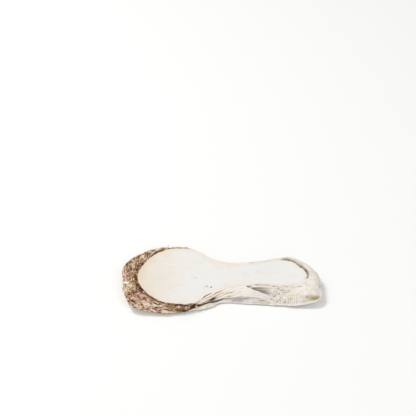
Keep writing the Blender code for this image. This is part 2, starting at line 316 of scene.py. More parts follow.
# Cap skin: it shrank into folds along its edge, with crumples and thin strands between them
capSkin = {
    # the upper edge of its last part, which ends in a tongue: X of its start and end, and its place down
    # there, then how far noise moves it, and half the width over which it turns into gills
    "tongue": (-18.0, -7.0, -0.08, 1.12),
    "tongueEdge": (0.05, 0.03),
    # its lower edge, which the stem's crease carries on: X, and its place down
    "margin": (
        (-20, 1.1), (-17.7, 0.8), (-15.9, 0.64), (-13.7, 0.55), (-12.2, 0.54), (-10.6, 0.58), (-8.6, 0.68),
        (-4.5, 0.8), (-1.5, 0.76), (1.7, 0.73), (4.5, 0.71), (10, 0.67), (15, 0.69), (20, 0.74), (26, 0.86),
        (32, 1.0),
    ),
    # depth of its ripple, the ripple's length for each radian, and half the width of the margin's edge
    "marginEdge": (0.012, 2.1, 0.02),
    # broad and middle noise, which everything on the outside sways with: length, width and seed
    "swell": (8.0, 5.0, 31),
    "dent": (3.2, 2.2, 33),
    "tip": (-34.0, -47.0),  # zone where the crumples grow shorter and the folds weaker
    "atTip": {"fold": 0.5, "shorter": 0.3, "strand": 0.3, "all": 0.35},  # by how much
    # kinds of relief: the noise's length, width and seed, which the folds do without, then mean, height and
    # share in the tone
    "fold": (0.4, 0.62, 0.52),
    "crumple": (3.2, 1.5, 41, 0.5, 0.5, 0.42),
    "strand": (6.0, 1.0, 43, 0.3, 0.42, 0.5),
    "fineStrand": (3.6, 0.75, 49, 0.3, 0.3, 0.45),
    "fleck": (0.8, 0.7, 47, 0.0, 0.13, 0.28),
    "grain": (1.35, 1.05, 55, 0.72, 0.3, 0.42),  # at the tip
    "foldWidth": 1.75,
    "foldStrength": (0.6, 0.8, 0.15, 1.0, 6.0, 2.5, 37),
    "sways": ((0.7, 0.3), (0.7, 0.0), (0.9, 0.3)),  # of folds, crumples and strands, with swell and dent
    "slant": 0.4,  # of the strands at the tip, towards the cut face as they run to the front
    "swellHeight": 0.35,
    "tone": (0.4, 0.2),  # without relief, and how far the swell moves it
    "worn": (0.55, 1.0, -0.08, 0.2),  # places down, the tone gained there, and the tip's further gain
    "wornTip": (-33.0, -41.0),
    "tint": (6.0, 1.1, 51, 0.85, 0.5),  # noise, how far it moves the tint, and how far the swell does
    "smoothMost": 0.9,  # most that a smooth place takes from the height
    "smoothTone": 0.65,  # and how much of that it takes from the tone
    # single places that show on the front: X, Y, reach along X and Y, and the change there
    "smooth": (
        (-28.3, -28.9, 3.4, 2.6, 0.85), (-23.0, -28.4, 2.2, 2.2, 0.6), (-38.5, -24.3, 3.0, 2.6, 0.6),
        (-45.0, -24.5, 3.5, 3.0, 0.4), (-53.3, -8.6, 2.6, 2.6, 0.85), (-51.0, -3.5, 4.0, 4.0, 0.45),
        (-15.5, -26.5, 3.5, 2.5, 0.5),
    ),
    # the strongest darkening ones, along the seam at X -45 to -37 and beside the margin near X -16, are
    # painted shade in crevices under the cut face's edge
    "lighter": (
        (-51.0, -14.0, 3.6, 3.6, 0.4), (-41.5, -28.8, 5.0, 2.6, 0.28), (-33.0, -30.0, 2.4, 1.8, 0.2),
        (-38.5, -24.3, 3.0, 2.4, -0.12), (-45.5, -15.0, 2.0, 5.0, -0.12), (-16.0, -27.5, 6.0, 4.0, -0.12),
        (-28.3, -28.9, 3.4, 2.6, -0.06), (-50.5, -2.5, 4.5, 4.5, 0.02), (-44.7, -17.9, 1.2, 2.4, -0.5),
        (-41.3, -22.3, 2.2, 1.3, -0.42), (-36.9, -24.2, 2.6, 1.1, -0.35), (-47.8, -3.0, 0.5, 3.0, -0.15),
        (-16.5, -26.2, 3.4, 1.4, -0.55),
    ),
    "tinted": (
        (-51.5, -14.5, 4.5, 4.0, -0.5), (-46.0, -23.5, 4.5, 3.0, 0.6), (-41.0, -29.0, 5.0, 2.4, 0.5),
        (-28.3, -28.9, 3.6, 2.8, -0.9), (-22.8, -28.4, 2.4, 2.2, 0.9), (-33.0, -30.0, 2.4, 1.8, 0.6),
        (-51.0, -21.0, 2.6, 2.4, -0.4), (-50.5, -2.0, 5.0, 4.5, 0.5), (-15.5, -26.5, 4.0, 3.0, -0.5),
        (-45.0, -15.0, 2.0, 6.0, 0.6),
    ),
    "raised": ((-23.0, -28.4, 2.0, 1.6, 0.4), (-33.0, -29.6, 2.0, 1.6, 0.3), (-36.0, -25.5, 3.0, 1.0, -0.3)),
}


def marginShare(pastMargin):
    # 0 above the cap's margin, 1 below it
    edge = capSkin["marginEdge"][2]
    return ramp(pastMargin, -edge, edge)


def capSkinRelief(place, broad, middle):
    part = capSkin
    atTip = part["atTip"]
    tip = ramp(place["x"], *part["tip"])
    overall = 1.0 - atTip["all"] * tip
    rough = 1.0 - np.clip(spots(place, part["smooth"]), 0.0, part["smoothMost"])
    foldSway, crumpleSway, strandSway = (swell * broad + dent * middle for swell, dent in part["sways"])
    turn = 2 * np.pi * place["run"] / place["perimeter"]
    slanted = part["slant"] * place["perimeter"] / (2 * np.pi) * np.sin(turn)
    shrunk = dict(place, down=place["down"] * (1.0 + atTip["shorter"] * tip) + crumpleSway + slanted)
    swayed = dict(place, down=place["down"] + strandSway + slanted)

    strength = patchy(place, *part["foldStrength"]) * (1.0 - atTip["fold"] * tip)
    folds = (0.5 + 0.5 * np.cos(2 * np.pi * (place["down"] / part["foldWidth"] + foldSway))) * strength
    crumples = lumps(noiseDown(shrunk, *part["crumple"][:3]))
    fibres = strands(noiseDown(swayed, *part["strand"][:3])) * (1.0 - atTip["strand"] * tip)
    fineFibres = strands(noiseDown(swayed, *part["fineStrand"][:3]))
    flecks = noiseDown(place, *part["fleck"][:3])
    grain = lumps(noiseDown(place, *part["grain"][:3]))
    kinds = (
        (folds, "fold", overall, overall), (crumples, "crumple", overall, overall),
        (fibres, "strand", overall, overall), (fineFibres, "fineStrand", overall, overall),
        (flecks, "fleck", overall, 1.0), (grain, "grain", tip, tip),
    )
    # the tone rises and falls with the relief: painted shade in low places, painted highlight on high ones
    height, tone = 0.0, 0.0
    for relief, kind, heightShare, toneShare in kinds:
        mean, high, toned = part[kind][-3:]
        height = height + high * heightShare * (relief - mean)
        tone = tone + toned * toneShare * (relief - mean)
    height = height * rough + part["swellHeight"] * broad + spots(place, part["raised"])
    tone = tone * between(1.0 - part["smoothTone"], 1.0, rough)
    plain, swell = part["tone"]
    start, end, wornTone, wornTipTone = part["worn"]
    worn = ramp(place["v"], start, end) * (wornTone + wornTipTone * ramp(place["x"], *part["wornTip"]))
    tone = tone + plain + swell * broad + spots(place, part["lighter"]) + worn
    *noise, noiseTint, swellTint = part["tint"]
    tint = noiseTint * noiseDown(swayed, *noise) + swellTint * broad + spots(place, part["tinted"])
    return height, tone, tint, crumples, flecks


# Gills: thin folds that fan out from where the cap's margin meets the cut face, and run on as faint lines
gillFan = {
    "count": 3.6,  # between the cut face's edge, or the stem's fold, and the cap's margin
    "narrowest": 0.08,  # the least place down between those that they get
    "height": 0.7,
    "mean": 0.7,
    "climb": (0.1, -12.0),  # towards the cut face, in gills for each mm of length, from that X on
    "sway": (0.3, 0.2, 0.1),  # with the broad and middle noise, and how far the latter moves the tone
    "sharpness": 0.5,
    "fade": (-9.0, 10.0),  # X over which they grow fainter
    "least": 0.5,  # what is left of them past that
    "strength": (1.0, 0.7, 0.4, 1.25, 5.0, 1.5, 39),
    "papery": (3.0, 0.5, 45, 0.06, 0.12),  # noise, its height and its share in the tone
    # the slit is dug in, and also painted dark as shade
    "slit": (-7.2, 2.4, 0.5, 0.06),  # dark slit between two gills: X, half length, place down, half width
    "slitClimb": 0.01,  # towards the cut face, as a share of the way down for each mm
    "slitDepth": 1.0,
    "slitDark": 1.8,
}


def gillRelief(place, across, broad, middle):
    part = gillFan
    climb, climbStart = part["climb"]
    swell, dent, toneDent = part["sway"]
    phase = part["count"] * across + climb * (place["x"] - climbStart) + dent * middle + swell * broad
    ridges = (0.5 + 0.5 * np.cos(2 * np.pi * phase)) ** part["sharpness"]
    fade = between(1.0, part["least"], ramp(place["x"], *part["fade"])) * patchy(place, *part["strength"])
    *noise, paperyHeight, paperyTone = part["papery"]
    papery = noiseDown(place, *noise)
    height = part["height"] * (ridges - part["mean"]) * fade + paperyHeight * papery
    # the tone is painted darker between the gills as shade
    return height, 1.0 - (1.0 - ridges) * fade + toneDent * middle + paperyTone * papery


# The crease between the cap's margin and the stem: deep and dark below the gills, thin and pale further on;
# its dark is painted shade, with the skin's own olive on the stem
creaseLine = {
    "zone": (-20.0, -14.0, 15.0, 26.0),
    "deepest": (-12.0, -6.0, -2.0, 6.0),
    "depth": 0.5,
    "left": (0.4, 0.35),  # of its depth at the back, and away from where it's deepest
    "width": (0.56, 0.24),  # below the gills, and on the stem
    "narrows": (-8.0, 10.0),
    "dark": (1.2, 0.6),  # how dark, and how much of that is lost along the stem
    "paler": (-9.0, 9.0),
}


def creaseRelief(place, crease):
    # how deep the crease is, and how dark
    part = creaseLine
    x = place["x"]
    width = between(*part["width"], ramp(x, *part["narrows"]))
    line = hump((place["v"] - crease) * place["width"], 0.0, width) * window(x, part["zone"])
    atBack, elsewhere = part["left"]
    shares = between(atBack, 1.0, place["front"]) * between(elsewhere, 1.0, window(x, part["deepest"]))
    strength, lost = part["dark"]
    # painted shade along the crease, fading where it runs out on the stem
    dark = np.clip(strength * line, 0.0, 1.0) * (1.0 - lost * ramp(x, *part["paler"]))
    return part["depth"] * line * shares, dark


# Stem skin: long shrinkage wrinkles, a fold with a hollow behind it, fine slanting creases and upright
# ridges near the base
stemSkin = {
    "zone": (1.0, 12.0),
    "baseZone": (37.0, 43.0),
    "patchZone": (23.0, 28.0, 35.0, 42.0),
    "uprightZone": (36.5, 38.5, 42.8, 44.5),
    "zoneSways": (3.0, 1.5, 1.5, 1.0),  # how far noise moves each of these zones
    "patchFade": (0.85, 0.97, 0.5),  # places down between which the patch fades, and by how much
    "patchBack": 0.4,  # what is left of it at the back
    "uprightStart": (0.58, 0.7),  # places down between which the upright ridges start
    "uprightElsewhere": 0.16,  # their strength on the rest of the base
    "wrinkle": (13.0, 1.5, 53, 0.5, 0.3),  # noise, mean and height
    "wrinkleForm": (0.8, 0.6),  # sharpness, and sway with the swell
    "wrinkleTone": (0.3, 0.34, 0.6),  # mean, share in the tone, and how much of that is lost at the base
    "baseSmooth": 0.75,
    "fine": (2.8, 0.7, 59, 2, 0.6),  # noise with its layers and slant
    "fineHeight": 0.09,
    # the patch's fine creases, which cross like a weave: pitch, height, slants, and the noise that lays one
    # way of them over the other, with the values between which they change places
    "slanting": (1.15, 0.26),
    "slants": (0.7, -0.45),
    "overOther": (2.6, 2.2, 71),
    "overEdge": (-0.2, 0.2),
    # how they bend, how sharp they are, how they break up, and the height between them
    "creaseBend": (3.0, 2.6, 6.0),
    "creaseEdge": (-0.1, 1.0),
    "creaseStrength": (0.7, 1.6, 0.0, 1.5, 1.6, 1.2),
    "creaseMean": 0.35,
    "creaseSeeds": (61, 6, 20),  # the first, and the steps to the other way's and to the strength's
    # the upright ridges where the stem ends: pitch, height, and sway with the broad and middle noise
    "upright": (1.12, 0.15, 2.5, 1.2),
    "uprightStrength": (0.7, 1.0, 0.1, 1.0, 3.0, 4.0, 67),
    "bottomWrinkle": (11.0, 1.0, 69, 0.35, 0.22),  # below the crease: noise, mean and height
    "bottomStart": (0.0, 0.06),
    "bottomZone": (0.0, 8.0, 30.0, 38.0),
    "edgeRidge": (14.0, 18.0, 26.0, 30.0),  # zone of the thin ridge between the cut face and the hollow
    "edgeRidgeForm": (0.14, 0.05, 0.5),  # place down, width there, and height
    "stripLines": (0.8, 0.22),  # mean and height of the lines that the gills send over the fold
    "wrinkleLoss": (0.85, 0.7, 0.6),  # of the wrinkles' height on the fold, at the bottom and on the patch
    "lipZone": (-2.0, 10.0, 25.0, 36.0),
    # the fold's crest: X, and how far down the outside it lies there
    "lipCrest": (
        (12, 0.0), (14, 0.2), (18, 0.41), (22, 0.55), (25, 0.6), (27, 0.67), (28.5, 0.82), (31, 0.97),
    ),
    "lipHeight": 1.9,
    # in shares of the way down: over how much the fold starts at the cut face, its least width, its drop
    # behind the crest, the edge of its colour there, and where that ends before the crease
    "lipStart": 0.06,
    "lipLeast": 0.05,
    "lipDrop": 0.07,
    "lipEdge": (-0.01, 0.02),
    "lipEnd": 0.04,
    "hollowZone": (9.5, 12.0, 23.0, 29.5),
    "hollowReach": 0.4,  # above the fold's crest, as a share of the way down
    "hollowDepth": 1.3,
    "tone": 0.5,
    # how much each moves the tone
    "toneShares": {
        # fine, slanting, upright, bottom and edgeRidge follow the relief, as painted shade and highlight
        "fine": 0.22, "base": 0.16, "slanting": 0.5, "patch": -0.03, "upright": 0.33, "bottom": 0.3,
        # below: the strip under the crease faces down and is painted darker as shade
        "below": -0.12, "edgeRidge": 0.3, "lowEdge": 0.35, "underCap": 0.2,
    },
    "lowEdge": (0.93, 0.96),  # places down between which the paler lower edge starts
    "underCapEnd": (-2.0, 8.0),  # X over which the paler skin below the cap's margin ends
    # the fold's strip is painted pale as a highlight
    "stripToneWithHighlight": (0.35, 0.65, 0.1, 0.85),  # plain, of its lines, of the fine noise, and how much shows
    # the bottom's part of the tint is the grey-lilac of painted shade on the strip under the crease
    "tint": (7.0, 3.0, 73, 0.8, 0.5, 0.35),  # noise, and how far it, the bottom and the fold move the tint
    # single places near the base: X, Y, reach along X and Y, and the change there
    "darker": (
        # the second of these, at X 50.9, darkens the notch under the base's corner, which faces down, as
        # painted shade
        (43.2, -14.2, 1.7, 0.4, 0.5), (50.9, -21.4, 4.8, 1.5, 0.5),
        (47.0, -20.6, 0.7, 0.6, 0.35), (54.0, -12.5, 0.6, 3.0, 0.15),
    ),
    "tinted": ((43.2, -14.2, 1.9, 0.5, -0.6), (51.0, -21.3, 4.6, 1.5, -0.45), (54.0, -12.5, 0.7, 3.2, -1.0)),
    "sunken": ((50.9, -21.2, 4.0, 0.8, 0.45), (43.2, -14.2, 1.6, 0.35, 0.15)),
}


def slantingRidges(place, slant, seed):
    # thin creases one way, broken up by the noise
    part = stemSkin
    across = place["down"] * math.cos(slant) - place["run"] * math.sin(slant)
    long, wide, bend = part["creaseBend"]
    phase = 2 * np.pi * across / part["slanting"][0] + bend * noiseDown(place, long, wide, seed)
    strength = patchy(place, *part["creaseStrength"], seed + part["creaseSeeds"][2])
    return part["creaseMean"] - ramp(np.cos(phase), *part["creaseEdge"]) * strength


def stemSkinRelief(place, crease, strip, stripLines, broad, middle):
    part = stemSkin
    x, v, run, down, front = (place[name] for name in ("x", "v", "run", "down", "front"))
    _, baseSway, patchSway, uprightSway = part["zoneSways"]
    base = ramp(x + baseSway * middle, *part["baseZone"])
    fadeStart, fadeEnd, fade = part["patchFade"]
    patch = window(x + patchSway * middle, part["patchZone"]) * (1.0 - fade * ramp(v, fadeStart, fadeEnd))
    patch = patch * between(part["patchBack"], 1.0, front)
    below = front * ramp(v - crease, *part["bottomStart"]) * window(x, part["bottomZone"])
    stripTakes, belowTakes, patchTakes = part["wrinkleLoss"]
    plain = (1.0 - stripTakes * strip) * (1.0 - belowTakes * below) * (1.0 - patchTakes * patch)

    *noise, wrinkleMean, wrinkleHeight = part["wrinkle"]
    sharpness, sway = part["wrinkleForm"]
    wrinkles = lumps(noiseDown(dict(place, down=down + sway * broad), *noise), sharpness)
    fine = noiseDown(place, *part["fine"])
    seed, seedStep, _ = part["creaseSeeds"]
    one, other = (
        slantingRidges(place, slant, seed + i * seedStep) for i, slant in enumerate(part["slants"])
    )
    slanting = between(other, one, ramp(noiseDown(place, *part["overOther"]), *part["overEdge"]))
    pitch, uprightHeight, swell, dent = part["upright"]
    zone = window(x + uprightSway * middle, part["uprightZone"]) * ramp(v, *part["uprightStart"]) * front
    zone = np.maximum(zone, part["uprightElsewhere"] * base)
    upright = np.cos(2 * np.pi * run / pitch + swell * broad + dent * middle) * zone
    upright = upright * patchy(place, *part["uprightStrength"])
    *noise, bottomMean, bottomHeight = part["bottomWrinkle"]
    bottom = (strands(noiseDown(place, *noise)) - bottomMean) * below
    at, width, ridgeHeight = part["edgeRidgeForm"]
    edgeRidge = front * window(x, part["edgeRidge"]) * hump(v, at, width)
    lineMean, lineHeight = part["stripLines"]

    height = wrinkleHeight * (wrinkles - wrinkleMean) * (1 - part["baseSmooth"] * base) * plain
    height = height + part["fineHeight"] * fine * plain + part["slanting"][1] * patch * slanting
    height = height + uprightHeight * upright + bottomHeight * bottom + ridgeHeight * edgeRidge
    height = height - spots(place, part["sunken"]) + lineHeight * strip * (stripLines - lineMean)

    wrinkleMean, wrinkleTone, lost = part["wrinkleTone"]
    movers = {
        "fine": fine, "base": base, "slanting": patch * slanting, "patch": patch, "upright": upright,
        "bottom": bottom, "below": below, "edgeRidge": edgeRidge, "lowEdge": ramp(v, *part["lowEdge"]),
        "underCap": marginShare(v - crease) * (1.0 - ramp(x, *part["underCapEnd"])),
    }
    # the tone follows the wrinkles and ridges: painted shade in their creases, painted highlight on their
    # tops
    tone = part["tone"] + wrinkleTone * (wrinkles - wrinkleMean) * (1 - lost * base) * plain
    tone = tone + sum(share * movers[name] for name, share in part["toneShares"].items())
    tone = tone - spots(place, part["darker"])
    # painted highlight: the fold's strip is brought up towards white
    stripPlain, stripShare, fineShare, most = part["stripToneWithHighlight"]
    tone = tone + strip * (stripPlain + stripShare * stripLines + fineShare * fine - tone) * most
    *noise, noiseTint, belowShadeTint, stripTint = part["tint"]
    tint = noiseTint * noiseDown(place, *noise) + spots(place, part["tinted"])
    return height, tone, tint + belowShadeTint * below + stripTint * strip


# The dried gap round the cut flesh of the cap, widest in front where the cap's margin begins
# its darkness, and that of its pits and of the place beside the margin, is painted shade
seamLook = {
    "zone": (-6.0, -12.0),
    "fainter": (-38.0, -44.0, 0.35),  # X from where to where, and by how much
    "form": (0.45, 0.4, 0.35),  # how far down, width and depth
    "sway": (0.35, 1.1, 0.35),  # how far noise moves its place and its width, and the least of that
    "strength": (0.95, 0.8, 0.3, 1.0, 3.5, 9.0, 57),
    "wide": (-18.0, 5.0),  # X where it's widest, and how far along
    "wideForm": (0.6, 0.3, 0.9),  # how much further down, wider and shallower it is there
    "second": (-47.0, -42.0, -34.0, -29.0),  # zone of a second crack beside it
    "secondForm": (1.7, 0.28, 0.5),  # how far down, width, and how far noise moves it
    "secondStrength": (0.6, 1.0, 0.0, 1.0, 4.0, 9.0, 63),
    "shadow": (-17.5, 5.0),  # X of the dark, pitted place beside the margin, and its reach
    "shadowDown": (0.03, 0.1, 0.4, 0.7),
    "shadowSway": 0.25,
    "shadowDark": (0.45, 1.2, 0.8),  # plain, how much the flecks move it, and its most
    "pits": (0.15, 0.5),  # heights of the crumples between which a pit ends
    "deep": (0.8, 0.5),  # depth of the second crack and of the pits, as shares of the seam's
    "darkness": (0.75, 0.6),  # and their darkness
}


def seamRelief(place, crumples, flecks, middle):
    part = seamLook
    x, v, down, front = (place[name] for name in ("x", "v", "down", "front"))
    at, width, depth = part["form"]
    placeSway, widthSway, least = part["sway"]
    lower, wider, shallower = part["wideForm"]
    start, end, fainter = part["fainter"]
    wide = front * hump(x, *part["wide"])
    width = width * np.clip(1.0 + widthSway * middle + wider * wide, least, None)
    seam = hump(down + placeSway * middle, at * (1.0 + lower * wide), width) * ramp(x, *part["zone"])
    seam = seam * (1.0 - fainter * ramp(x, start, end)) * patchy(place, *part["strength"])
    at, width, placeSway = part["secondForm"]
    second = front * window(x, part["second"]) * hump(down + placeSway * middle, at, width)
    second = second * patchy(place, *part["secondStrength"])
    near = front * hump(x, *part["shadow"])
    pits = near * (1.0 - ramp(crumples, *part["pits"]))
    start, whole, fading, end = part["shadowDown"]
    shadow = near * ramp(v, start, whole) * (1.0 - ramp(v + part["shadowSway"] * middle, fading, end))
    secondDepth, pitDepth = part["deep"]
    secondDark, pitDark = part["darkness"]
    plain, moved, most = part["shadowDark"]
    height = -depth * (seam * (1.0 - shallower * wide) + secondDepth * second + pitDepth * pits)
    # painted shade: how dark the seam, the second crack, the pits and the place beside the margin are
    # coloured
    dark = seam + secondDark * second + pitDark * pits + shadow * np.clip(plain - moved * flecks, 0.0, most)
    return height, dark


def outsideRelief(place):
    # height above the plain slope, and for the colours what outsideColumns names
    part = stemSkin
    x, v, down, front = (place[name] for name in ("x", "v", "down", "front"))
    broad, middle = (noiseDown(place, *capSkin[name]) for name in ("swell", "dent"))

    # where the cap's skin ends: it thins to a tongue that runs out below the gills
    start, end, top, low = capSkin["tongue"]
    tongueSway, tongueEdge = capSkin["tongueEdge"]
    tongue = top + (low - top) * ramp(x, start, end) + tongueSway * middle
    ripple, rippleLength, _ = capSkin["marginEdge"]
    crease = np.interp(x, *zip(*capSkin["margin"])) + ripple * np.sin(x / rippleLength)
    below = marginShare(v - crease)
    cap = ramp(v - tongue, -tongueEdge, tongueEdge) * (1 - below)
    stem = (1 - cap) * np.maximum(ramp(x + part["zoneSways"][0] * middle, *part["zone"]), below)
    gills = (1 - cap) * (1 - stem)

    # the fold of skin on the stem's front, and its hollow behind
    crest = np.interp(x, *zip(*part["lipCrest"]))
    behind = ramp(crest - v, *part["lipEdge"])
    rise = 1.0 - ramp(v, crest, np.maximum(crease, crest + part["lipLeast"]))
    lip = front * window(x, part["lipZone"])
    fold = lip * rise * (1.0 - ramp(crest - v, 0.0, part["lipDrop"])) * ramp(v, 0.0, part["lipStart"])
    strip = lip * (1.0 - behind) * (1.0 - ramp(v, crease - part["lipEnd"], crease))
    above = behind * np.exp(-np.clip(crest - v, 0.0, None) / part["hollowReach"])
    ridge, ridgeWidth, _ = part["edgeRidgeForm"]
    onRidge = window(x, part["edgeRidge"]) * (1.0 - ramp(v, ridge, ridge + 2.0 * ridgeWidth))
    # the hollow is dug in, and the same share paints it darker as shade
    hollow = front * window(x, part["hollowZone"]) * above * (1.0 - onRidge)

    across = (v - front * crest) / np.maximum(crease - front * crest, gillFan["narrowest"])
    capHeight, capTone, capTint, crumples, flecks = capSkinRelief(place, broad, middle)
    gillHeight, gillTone = gillRelief(place, across, broad, middle)
    stemHeight, stemTone, stemTint = stemSkinRelief(place, crease, strip, gillTone, broad, middle)
    seamHeight, seamDark = seamRelief(place, crumples, flecks, middle)
    creaseDepth, creaseDark = creaseRelief(place, crease)
    fadeStart, fadeEnd, fade = sliceForm["reliefEnd"]
    insideEdges = ramp(down, 0.0, sliceForm["reliefStart"]) * (1.0 - fade * ramp(v, fadeStart, fadeEnd))
    slitX, slitLength, slitPlace, slitWidth = gillFan["slit"]
    slitMiddle = slitPlace - gillFan["slitClimb"] * (x - slitX)
    slit = front * hump(x, slitX, slitLength) * hump(v, slitMiddle, slitWidth)

    height = (cap * capHeight + gills * gillHeight + stem * stemHeight) * insideEdges + cap * seamHeight
    height = height + part["lipHeight"] * fold - part["hollowDepth"] * hollow
    height = height - gillFan["slitDepth"] * slit - creaseDepth
    tone = cap * capTone + gills * gillTone + stem * stemTone
    tint = np.clip(cap * capTint + stem * stemTint, -1.0, 1.0)
    # painted shade of the slit, the crease and the seam
    dark = np.clip(np.maximum(gillFan["slitDark"] * slit, creaseDark) + cap * seamDark, 0.0, 1.0)
    return height, cap, stem, tone, tint, dark, hollow


def sliceSections():
    # the slice as closed section loops, one for each station from the cap's tip to the base's: over the
    # upper face from front to back, down the outside, back under the lower face and up the outside
    form = sliceForm
    stations = form["stations"]
    count = 2 * stations
    tip, base = tipPlaces()
    t = np.concatenate([evenPlaces(tip, base), evenPlaces(base, tip + len(form["edge"]))])
    face, skin = edgesInPlan(t)
    front = np.arange(stations + 1)
    back = (count - front) % count
    run = np.cumsum(np.linalg.norm(skin - np.roll(skin, 1, axis=0), axis=1))
    perimeter = run[-1]
    out = outward(alongLoop(0.5 * (face + skin)))

    def ragged(layers):
        total = 0.0
        for depth, size, seed in layers:
            cells = int(round(perimeter / size))
            total = total + depth * layeredNoise(run / perimeter * cells, 0.0 * run, seed, 3, cells)
        return out * total[:, None]

    middle = 0.5 * (face[front] + face[back])
    middle[:, 0] = np.clip(middle[:, 0], *form["spine"])
    spine = middle[np.concatenate([front, front[-2:0:-1]])]

    def bowed(plan, radius):
        # the faces' rings follow the bow in which the stem's top meets the cap
        depth, width = form["neckBow"]
        shift = depth * hump(plan[:, :1], form["neckX"], width) * (1.0 - radius**2)
        return plan - np.hstack([shift, 0.0 * shift])

    core = form["coreRadius"]
    radii = 1.0 - (1.0 - core) * np.linspace(0.0, 1.0, form["rings"]) ** form["ringSpread"]

    def cutFaceRows(edge, raggedEdge, height):
        size = np.linalg.norm(edge - spine, axis=1)
        rings = []
        for radius in radii:
            plan = bowed(spine + (edge - spine) * radius, radius)
            plan = plan + raggedEdge * ramp(radius, form["raggedReach"], 1.0)
            inset = (1.0 - radius) * size
            rings.append((plan, *height(plan, radius, inset), inset))
        near, far = (spine[side] + (edge[side] - spine[side]) * core for side in (front, back))
        lines = []
        openness = np.clip(np.linalg.norm(far - near, axis=1) / form["coreOpening"], 0.0, 1.0)
        for step in range(1, form["coreSteps"]):
            share = step / form["coreSteps"]
            radius = core * (1.0 - openness * (1.0 - abs(1.0 - 2.0 * share)))
            plan = bowed(between(near, far, share), radius[:, None])
            inset = (1.0 - radius) * 0.5 * (size[front] + size[back])
            lines.append((plan, *height(plan, radius, inset), inset))
        return rings, lines

    def upper(plan, radius, inset):
        relief, groove = faceRelief(*plan.T, inset)
        return upperHeight(*plan.T) + relief, groove

    def lower(plan, radius, inset):
        x, y = plan.T
        long, wide, seed, height = form["underFibre"]
        fibres = height * latticeNoise(x / long, y / wide, seed) + height
        return form["skinLift"] * ramp(radius, form["flatRadius"], 1.0) + curl(x, y) + fibres, 0.0 * x

    topRings, topLines = cutFaceRows(face, ragged(form["raggedFace"]), upper)
    lowRings, lowLines = cutFaceRows(skin, ragged(form["raggedSkin"]), lower)
    faceEdge, skinEdge = (np.column_stack(rings[0][:2]) for rings in (topRings, lowRings))
    fall = skinEdge - faceEdge
    normal = np.cross(fall, alongLoop(0.5 * (faceEdge + skinEdge)))
    normal /= np.linalg.norm(normal, axis=1)[:, None]
    width = np.linalg.norm(fall, axis=1)
    frontShare = 1.0 - ramp(faceEdge[:, 1], *form["frontZone"])

    nothing = np.zeros(count)
    wall = []
    for v in np.linspace(0.0, 1.0, form["wallRows"] + 1)[1:-1]:
        plain = form["skinBulge"] * width * 4.0 * v * (1.0 - v)
        onSlope = faceEdge + fall * v
        place = {"x": faceEdge[:, 0], "v": v, "run": run, "perimeter": perimeter, "width": width}
        place.update(down=v * width, front=frontShare, planX=onSlope[:, 0], planY=onSlope[:, 1])
        height, *shares = outsideRelief(place)
        points = onSlope + normal * (plain + height)[:, None]
        wall.append(np.column_stack([points, nothing + 1.0, *shares, nothing, nothing]))

    def faceRow(row, skin=None):
        # a row of a cut face; where it is the edge of the skin, it takes the skin's colours along
        plan, height, groove, inset = row
        last = 4 + len(outsideColumns)
        shares = np.zeros((len(plan), len(outsideColumns))) if skin is None else skin[:, 4:last]
        return np.column_stack([plan, height, np.zeros(len(plan)), shares, groove, inset])

    topRows = [faceRow(topRings[0], wall[0])] + [faceRow(ring) for ring in topRings[1:]]
    lowRows = [faceRow(lowRings[0], wall[-1])] + [faceRow(ring) for ring in lowRings[1:]]
    loop = [row[front] for row in topRows] + [faceRow(line) for line in topLines]
    loop += [row[back] for row in topRows[::-1]] + [row[back] for row in wall]
    loop += [row[back] for row in lowRows] + [faceRow(line) for line in lowLines[::-1]]
    loop += [row[front] for row in lowRows[::-1]] + [row[front] for row in wall[::-1]]
    return np.stack(loop, axis=1), {"across": 2 * form["rings"] + form["coreSteps"] - 1}


# Columns of a section's points after X, Y and Z, which the materials read as attributes
outsideColumns = ("capShare", "stemShare", "tone", "tint", "creviceShadeShare", "hollowPaintedShade")
attributeNames = ("skinShare", *outsideColumns, "grooveOliveAndShade", "insetMm")
sections, layout = sliceSections()
lowCorner, highCorner = sections[..., :3].min(axis=(0, 1)), sections[..., :3].max(axis=(0, 1))
centre = 0.5 * (np.array(cadBox[0]) + np.array(cadBox[1])) / mm
shift = centre - 0.5 * (lowCorner + highCorner)
shift[2] = cadBox[0][2] / mm - lowCorner[2]
sections[..., :3] += shift
print("slice worked out:", sections.shape[0] * sections.shape[1], "points")


# Colours and materials
def linearColour(hexText):
    # sRGB hex to the linear colour that Blender's sockets take
    parts = [int(hexText[i : i + 2], 16) / 255 for i in (1, 3, 5)]
    return (*[c / 12.92 if c <= 0.04045 else ((c + 0.055) / 1.055) ** 2.4 for c in parts], 1.0)


def addNode(tree, kind, inputs=(), stops=(), **settings):
    # adds a node; inputs are for its first sockets in order, or by a socket's name or number: each is a
    # value, an sRGB hex colour, or the node or output that feeds the socket
    node = tree.nodes.new(kind)
    for name, value in settings.items():
        setattr(node, name, value)
    for name, value in inputs.items() if isinstance(inputs, dict) else enumerate(inputs):
        if isinstance(value, bpy.types.Node):
            value = next(output for output in value.outputs if output.enabled)
        if isinstance(value, bpy.types.NodeSocket):
            tree.links.new(value, node.inputs[name])
        else:
            node.inputs[name].default_value = linearColour(value) if isinstance(value, str) else value
    for i, (place, colour) in enumerate(stops):
        elements = node.color_ramp.elements
        element = elements[i] if i < 2 else elements.new(place)
        element.position, element.color = place, linearColour(colour)
    return node


def newMaterial(name):
    material = bpy.data.materials.new(name)
    material.use_nodes = True
    tree = material.node_tree
    tree.nodes.clear()
    shader = addNode(tree, "ShaderNodeBsdfPrincipled")
    addNode(tree, "ShaderNodeOutputMaterial", {"Surface": shader})
    place = addNode(tree, "ShaderNodeTexCoord").outputs["Object"]
    inMm = addNode(tree, "ShaderNodeVectorMath", (place, (1 / mm, 1 / mm, 1 / mm)), operation="MULTIPLY")
    return material, tree, shader, inMm


